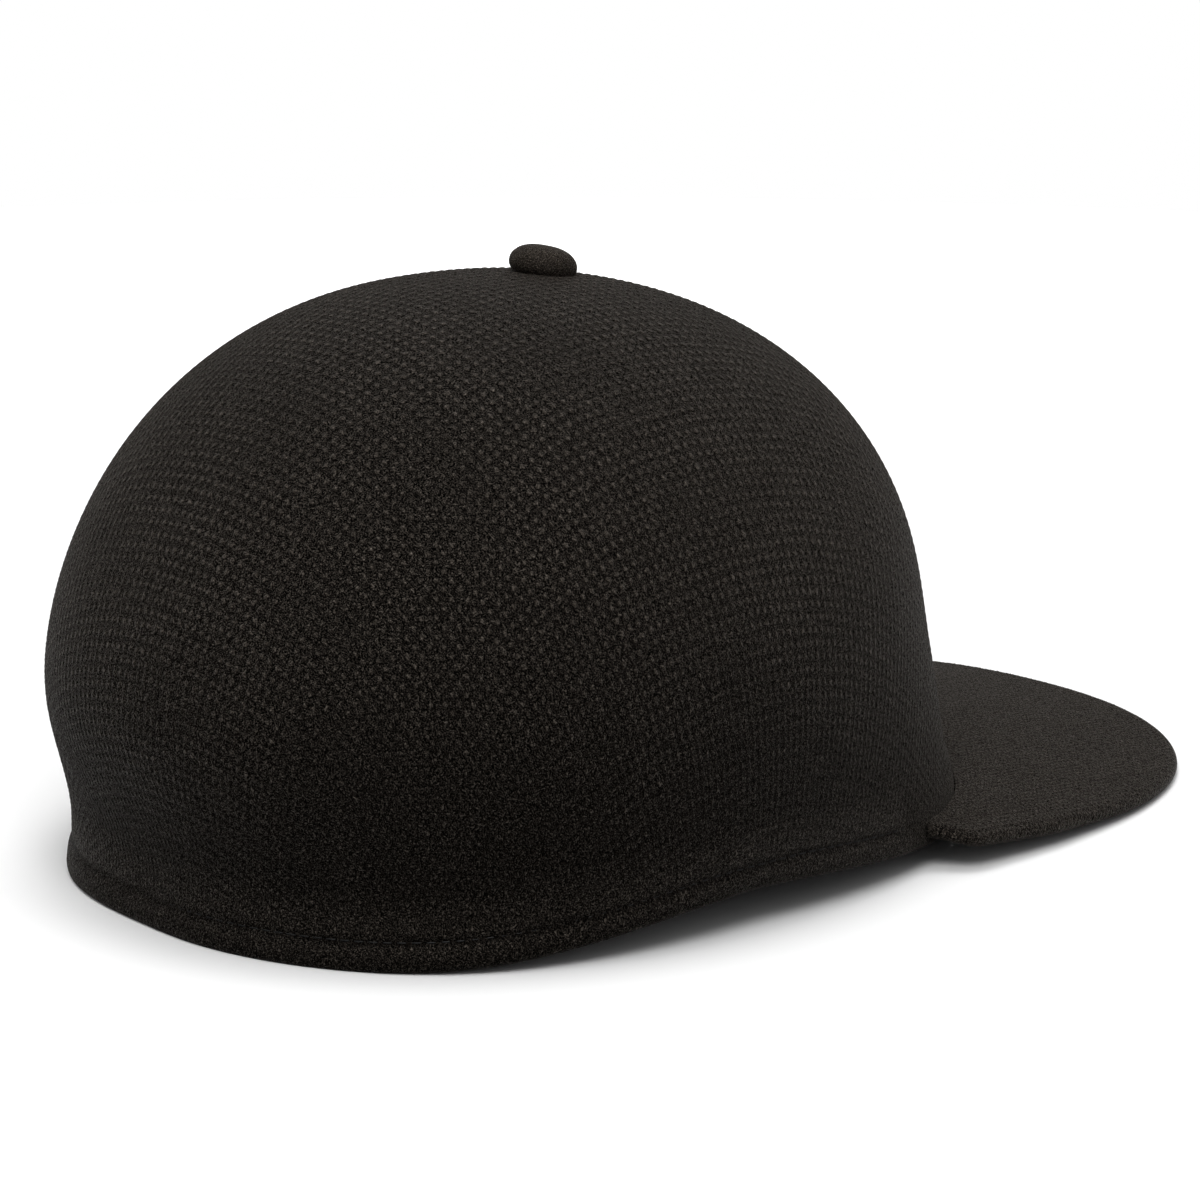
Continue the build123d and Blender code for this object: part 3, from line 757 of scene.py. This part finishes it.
def paint_hard_pieces():
    """Procedural finishes for the CAD nodes that are shown as they are."""
    for node, material, slot in (
        ("visor_board", plastic_material("visor_board_plastic", 30, 0.45), "visor_plastic"),
        ("button_cap", metal_material("pressed_steel", 140), "pressed_metal"),
        ("button_shank", metal_material("shank_steel", 150), "pressed_metal"),
        ("bump_shell", plastic_material("shell_abs_black", 34, 0.38), "shell_abs"),
        ("tab_rivet", metal_material("rivet_steel", 160), "pressed_metal"),
    ):
        mesh = NODES[node].data
        mesh.materials.clear()
        mesh.materials.append(material)


# ---------------------------------------------------------------- materials

class Shader:
    """A principled material whose inputs are built up from small maths nodes."""

    def __init__(self, name):
        self.material = bpy.data.materials.new(name)
        self.material.use_nodes = True
        self.nodes = self.material.node_tree.nodes
        self.links = self.material.node_tree.links
        self.main = self.nodes["Principled BSDF"]

    def feed(self, socket, value):
        """Joins a socket to another node's output, or gives it a plain value."""
        if isinstance(value, bpy.types.NodeSocket):
            self.links.new(value, socket)
        elif isinstance(value, tuple) and len(value) == 3 and socket.type == "RGBA":
            socket.default_value = (*value, 1)
        else:
            socket.default_value = value

    def set(self, **values):
        """Feeds the principled node's inputs, named with _ for a space."""
        for key, value in values.items():
            self.feed(self.main.inputs[key.replace("_", " ")], value)

    def math(self, operation, *values):
        """One maths node; each value is a plain number or another node's output."""
        node = self.nodes.new("ShaderNodeMath")
        node.operation = operation
        for socket, value in zip(node.inputs, values):
            self.feed(socket, value)
        return node.outputs[0]

    def add(self, first, second):
        return self.math("ADD", first, second)

    def times(self, first, second):
        return self.math("MULTIPLY", first, second)

    def attribute(self, name):
        """A vector stored on the mesh's points."""
        node = self.nodes.new("ShaderNodeAttribute")
        node.attribute_name = name
        return node.outputs["Vector"]

    def split(self, vector):
        """A vector's three numbers."""
        node = self.nodes.new("ShaderNodeSeparateXYZ")
        self.feed(node.inputs[0], vector)
        return node.outputs

    def place(self):
        """Where a point lies in its object, in metres."""
        return self.nodes.new("ShaderNodeTexCoord").outputs["Object"]

    def noise(self, size, vector=None, detail=2.0, roughness=0.5):
        """Noise from 0 to 1 whose lumps are about the given size."""
        node = self.nodes.new("ShaderNodeTexNoise")
        self.feed(node.inputs["Vector"], vector or self.place())
        self.feed(node.inputs["Scale"], 1 / size)
        self.feed(node.inputs["Detail"], detail)
        self.feed(node.inputs["Roughness"], roughness)
        return node.outputs["Fac"]

    def wave(self, value, pitch):
        """Cosine of a length along the surface, one turn to a pitch."""
        return self.math("COSINE", self.times(value, 2 * math.pi / pitch))

    def span(self, value, low, high, out_low=0.0, out_high=1.0):
        """Eases from out_low to out_high while the value goes from low to high."""
        node = self.nodes.new("ShaderNodeMapRange")
        node.interpolation_type = "SMOOTHSTEP"
        keys = ("Value", "From Min", "From Max", "To Min", "To Max")
        for key, item in zip(keys, (value, low, high, out_low, out_high)):
            self.feed(node.inputs[key], item)
        return node.outputs[0]

    def mix(self, share, first, second):
        """A colour between two others."""
        node = self.nodes.new("ShaderNodeMix")
        node.data_type = "RGBA"
        self.feed(node.inputs["Factor"], share)
        self.feed([s for s in node.inputs if s.name == "A" and s.type == "RGBA"][0], first)
        self.feed([s for s in node.inputs if s.name == "B" and s.type == "RGBA"][0], second)
        return [s for s in node.outputs if s.type == "RGBA"][0]

    def bump(self, height, distance):
        """A normal tilted as if the surface rose by the height times the distance."""
        node = self.nodes.new("ShaderNodeBump")
        self.feed(node.inputs["Height"], height)
        self.feed(node.inputs["Distance"], distance)
        self.feed(node.inputs["Strength"], 1.0)
        return node.outputs["Normal"]


def grey(value, warm=0.0):
    """A dark grey from an sRGB level of 0 to 255, warmer as warm grows."""
    def linear(level):
        level = level / 255
        return level / 12.92 if level <= 0.04045 else ((level + 0.055) / 1.055) ** 2.4
    return linear(value * (1 + warm)), linear(value), linear(value * (1 - warm))


def knit_material(name, pitch, dark=2, light=58, knot_light=0.45, depth=0.4 * MM, grain=1.0):
    """Jersey of short yarn loops with a square lattice of small raised knots.

    Short floats lie across the knots; knots and floats are painted lighter as yarn highlights,
    and painted shade darkens the cloth towards the hem. The knit attribute holds two lengths along
    the cloth and the distance from the hem, in metres; dark and light are sRGB levels of the yarn
    and of its painted highlights.
    """
    s = Shader(name)
    u, v, left = s.split(s.attribute("knit"))
    drift = s.times(s.math("SUBTRACT", s.noise(9 * MM), 0.5), 0.7 * MM)
    u, v = s.add(u, drift), s.math("SUBTRACT", v, drift)
    across, down = s.wave(u, pitch), s.wave(v, pitch)
    # Knots and the floats across them are lighter as painted highlights of the yarn
    knots = s.span(s.times(s.add(across, down), 0.5), 0.3, 1.0)
    floats = s.times(s.span(down, 0.86, 1.0), s.span(across, -0.3, 0.7))
    # Patchy tone at random, times painted shade: the knots and floats are painted fainter towards the
    # hem, where less light falls
    patch = s.span(s.noise(26 * MM), 0.3, 0.65, 0.5, 1.2)
    hem_shade_and_patches = s.times(s.span(left, 9 * MM, 80 * MM, 0.25, 1.0), patch)
    knots, floats = s.times(knots, hem_shade_and_patches), s.times(floats, hem_shade_and_patches)

    yarn = s.nodes.new("ShaderNodeCombineXYZ")
    for socket, value in zip(yarn.inputs, (u, s.times(v, 1.7), 0.0)):
        s.feed(socket, value)
    loops = s.span(s.noise(0.6 * MM * grain, yarn.outputs[0], detail=1.0), 0.45, 0.7)
    fibres = s.span(s.noise(0.29 * MM * grain, detail=1.0), 0.48, 0.72)
    sparks = s.span(s.noise(0.42 * MM * grain, detail=0.0), 0.66, 0.78, 0.0, 1.1)
    speck = s.add(s.add(s.times(loops, 0.3), s.times(fibres, 0.7)), sparks)
    # Painted shade: the speckle is dimmed towards the hem
    speck = s.times(speck, s.span(left, 14 * MM, 80 * MM, 0.6, 1.15))

    # Painted light at the hem: painted shade in the stitched groove and on the edge that turns under,
    # and a painted highlight over the hem band
    from_groove = s.math("ABSOLUTE", s.math("SUBTRACT", left, HEM_BAND))
    groove = s.span(from_groove, 0.2 * MM, 1.3 * MM, 0.5, 1.0)
    edge = s.span(left, 1.5 * MM, 4.5 * MM, 0.65, 1.0)
    band = s.times(s.times(groove, edge), s.span(left, 8 * MM, 18 * MM, 1.8, 1.0))
    raised = s.add(s.times(knots, knot_light), s.times(floats, knot_light * 0.7))
    lit = s.add(s.times(raised, s.add(speck, 0.35)), s.times(speck, 0.5))
    lit = s.times(lit, band)
    height = s.add(s.times(knots, 0.7), s.times(speck, 0.6))
    s.set(Base_Color=s.mix(lit, grey(dark, 0.11), grey(light, 0.11)), Roughness=0.5)
    s.set(Specular_IOR_Level=s.times(lit, KNIT_SHINE), Specular_Tint=(1.0, 0.88, 0.76))
    s.set(Sheen_Weight=KNIT_SHEEN, Sheen_Roughness=0.32, Sheen_Tint=(1.0, 0.9, 0.8))
    s.set(Normal=s.bump(height, depth))
    return s.material


def thread_material(name, level):
    """Twisted sewing thread."""
    s = Shader(name)
    twist = s.noise(0.25 * MM, detail=1.0)
    s.set(Base_Color=s.mix(twist, grey(level, 0.05), grey(level * 2, 0.05)), Roughness=0.6)
    s.set(Normal=s.bump(twist, 0.1 * MM), Specular_IOR_Level=0.15)
    return s.material


def woven_material(name, level, across, down, sheen=0.05):
    """Plain weave or rib: ridges at a spacing along the piece and, if given, up it."""
    s = Shader(name)
    u, v, _ = s.split(s.attribute("knit"))
    ridge = s.times(s.wave(u, across), s.wave(v, down) if down else 1.0)
    ridge = s.add(s.times(ridge, 0.5), 0.5)
    fibre = s.noise(0.3 * MM)
    lit = s.add(s.times(ridge, 0.6), s.times(fibre, 0.4))
    shade, bright = grey(level * 0.6, 0.04), grey(min(level * 1.3, 250), 0.04)
    s.set(Base_Color=s.mix(lit, shade, bright), Roughness=0.8)
    s.set(Normal=s.bump(lit, 0.15 * MM), Specular_IOR_Level=0.15, Sheen_Weight=sheen)
    return s.material


def terry_material(name, level):
    """Looped pile, with painted shade between the loops."""
    s = Shader(name)
    loops = s.noise(0.9 * MM, detail=3.0, roughness=0.7)
    shade, bright = grey(level * 0.5, 0.04), grey(level * 1.4, 0.04)
    s.set(Base_Color=s.mix(s.span(loops, 0.35, 0.7), shade, bright), Roughness=0.95)
    s.set(Normal=s.bump(loops, 0.6 * MM), Specular_IOR_Level=0.05, Sheen_Weight=0.15)
    return s.material


def hook_material(name, level):
    """Hook tape: small bright tips set close together."""
    s = Shader(name)
    cells = s.nodes.new("ShaderNodeTexVoronoi")
    s.feed(cells.inputs["Vector"], s.place())
    s.feed(cells.inputs["Scale"], 1 / (1.1 * MM))
    tips = s.span(cells.outputs["Distance"], 0.0, 0.5, 1.0, 0.0)
    s.set(Base_Color=s.mix(tips, grey(level * 0.6), grey(level * 1.5)))
    s.set(Roughness=s.span(tips, 0, 1, 0.7, 0.4), Normal=s.bump(tips, 0.3 * MM))
    return s.material


def foam_material(name, level):
    """Closed-cell foam under a fine knitted skin."""
    s = Shader(name)
    cells = s.noise(0.7 * MM, detail=2.0)
    soft = s.noise(6 * MM)
    lit = s.add(s.times(cells, 0.7), s.times(soft, 0.3))
    s.set(Base_Color=s.mix(lit, grey(level * 0.7), grey(level * 1.3)), Roughness=0.9)
    s.set(Normal=s.bump(lit, 0.25 * MM), Specular_IOR_Level=0.1, Sheen_Weight=0.1)
    return s.material


def rubber_material(name, level):
    """Matt rubber with a faint unevenness."""
    s = Shader(name)
    grain = s.noise(1.2 * MM)
    s.set(Base_Color=s.mix(grain, grey(level * 0.9), grey(level * 1.15)))
    s.set(Roughness=s.span(grain, 0.2, 0.8, 0.55, 0.7))
    s.set(Normal=s.bump(grain, 0.05 * MM), Specular_IOR_Level=0.35)
    return s.material


def plastic_material(name, level, roughness):
    """Moulded plastic with a fine spark-eroded grain and faint flow marks."""
    s = Shader(name)
    grain, flow = s.noise(0.5 * MM), s.noise(30 * MM)
    s.set(Base_Color=s.mix(flow, grey(level * 0.93), grey(level * 1.08)))
    s.set(Roughness=s.span(flow, 0.3, 0.7, roughness - 0.05, roughness + 0.06))
    s.set(Normal=s.bump(grain, 0.04 * MM), Specular_IOR_Level=0.5)
    return s.material


def metal_material(name, level):
    """Pressed steel with fine scratches."""
    s = Shader(name)
    scratches = s.noise(0.8 * MM, detail=4.0)
    s.set(Base_Color=s.mix(scratches, grey(level * 0.9), grey(level * 1.1)), Metallic=1.0)
    s.set(Roughness=s.span(scratches, 0.3, 0.7, 0.28, 0.45), Normal=s.bump(scratches, 0.02 * MM))
    return s.material


# ---------------------------------------------------------------- stage

def sky():
    """A white room: brightest overhead, and plain white where the camera looks straight at it."""
    world = bpy.data.worlds.new("studio")
    world.use_nodes = True
    nodes, links = world.node_tree.nodes, world.node_tree.links
    split = nodes.new("ShaderNodeSeparateXYZ")
    links.new(nodes.new("ShaderNodeTexCoord").outputs["Generated"], split.inputs[0])
    climb = nodes.new("ShaderNodeMapRange")
    for key, value in (("From Min", -0.1), ("From Max", 1.0), ("To Min", SKY_LOW), ("To Max", SKY_HIGH)):
        climb.inputs[key].default_value = value
    links.new(split.outputs["Z"], climb.inputs["Value"])
    seen = nodes.new("ShaderNodeMath")
    seen.operation = "MAXIMUM"
    links.new(climb.outputs[0], seen.inputs[0])
    links.new(nodes.new("ShaderNodeLightPath").outputs["Is Camera Ray"], seen.inputs[1])
    links.new(seen.outputs[0], nodes["Background"].inputs["Strength"])
    nodes["Background"].inputs["Color"].default_value = (1, 1, 1, 1)
    return world


def make_stage():
    """Camera, pale floor, white room and three lights."""
    a, e = math.radians(AZIMUTH), math.radians(ELEVATION)
    back = np.array([math.sin(a) * math.cos(e), -math.cos(a) * math.cos(e), math.sin(e)])
    right = np.array([math.cos(a), math.sin(a), 0])
    up = np.cross(back, right)
    camera = bpy.data.objects.new("camera", bpy.data.cameras.new("camera"))
    camera.data.lens = LENS
    camera.data.sensor_width = SENSOR
    camera.location = TARGET + DISTANCE * back
    aim = TARGET + right * AIM_RIGHT - up * AIM_DOWN
    camera.rotation_euler = Vector(aim - np.array(camera.location)).to_track_quat("-Z", "Y").to_euler()
    bpy.context.scene.collection.objects.link(camera)
    bpy.context.scene.camera = camera

    ring = [2 * math.pi * i / FLOOR_SIDES for i in range(FLOOR_SIDES)]
    disc = [(FLOOR_RADIUS * math.cos(t), FLOOR_RADIUS * math.sin(t), 0) for t in ring]
    floor = new_object("floor", disc, [tuple(range(FLOOR_SIDES))], smooth=False)
    s = Shader("pale_floor")
    bounced = s.nodes.new("ShaderNodeLightPath").outputs["Is Diffuse Ray"]
    white, dim = (1.0, 1.0, 1.0), (0.3, 0.3, 0.3)
    s.set(Base_Color=s.mix(bounced, white, dim), Roughness=1.0, Specular_IOR_Level=0.0)
    away = s.nodes.new("ShaderNodeVectorMath")
    away.operation = "LENGTH"
    s.feed(away.inputs[0], s.place())
    glow = s.span(away.outputs["Value"], GLOW_START, FLOOR_RADIUS, 0.0, GLOW)
    s.set(Emission_Color=white, Emission_Strength=glow)
    floor.data.materials.append(s.material)
    bpy.context.scene.world = sky()

    def area(name, place, size, power):
        light = bpy.data.lights.new(name, "AREA")
        light.shape = "DISK"
        light.size = size
        light.energy = power
        obj = bpy.data.objects.new(name, light)
        obj.location = place
        toward = Vector((0, 0, 0.05)) - Vector(place)
        obj.rotation_euler = toward.to_track_quat("-Z", "Y").to_euler()
        bpy.context.scene.collection.objects.link(obj)
        return obj

    tall = math.radians(SOFTBOX_ELEVATION)
    level = SOFTBOX_DISTANCE * math.cos(tall)
    front = (level * math.sin(a), -level * math.cos(a), SOFTBOX_DISTANCE * math.sin(tall))
    overhead = area("overhead_softbox", (0.0, 0.0, OVERHEAD_HEIGHT), OVERHEAD_SIZE, OVERHEAD_WATTS)
    softbox = area("front_softbox", front, SOFTBOX_SIZE, SOFTBOX_WATTS)
    reflection = area("front_reflection", front, SOFTBOX_SIZE, REFLECTION_WATTS)
    reflection.visible_diffuse = False
    bpy.context.scene.view_settings.view_transform = "Standard"


# ---------------------------------------------------------------- build

LINES = Meridians("crown_knit", CROWN_SPOKES // 2, CROWN_STEPS, CROWN_HEART)
make_crown(LINES)
make_hem_stitches(LINES)
make_visor()
make_button()
make_soft_pieces()
paint_hard_pieces()
make_stage()
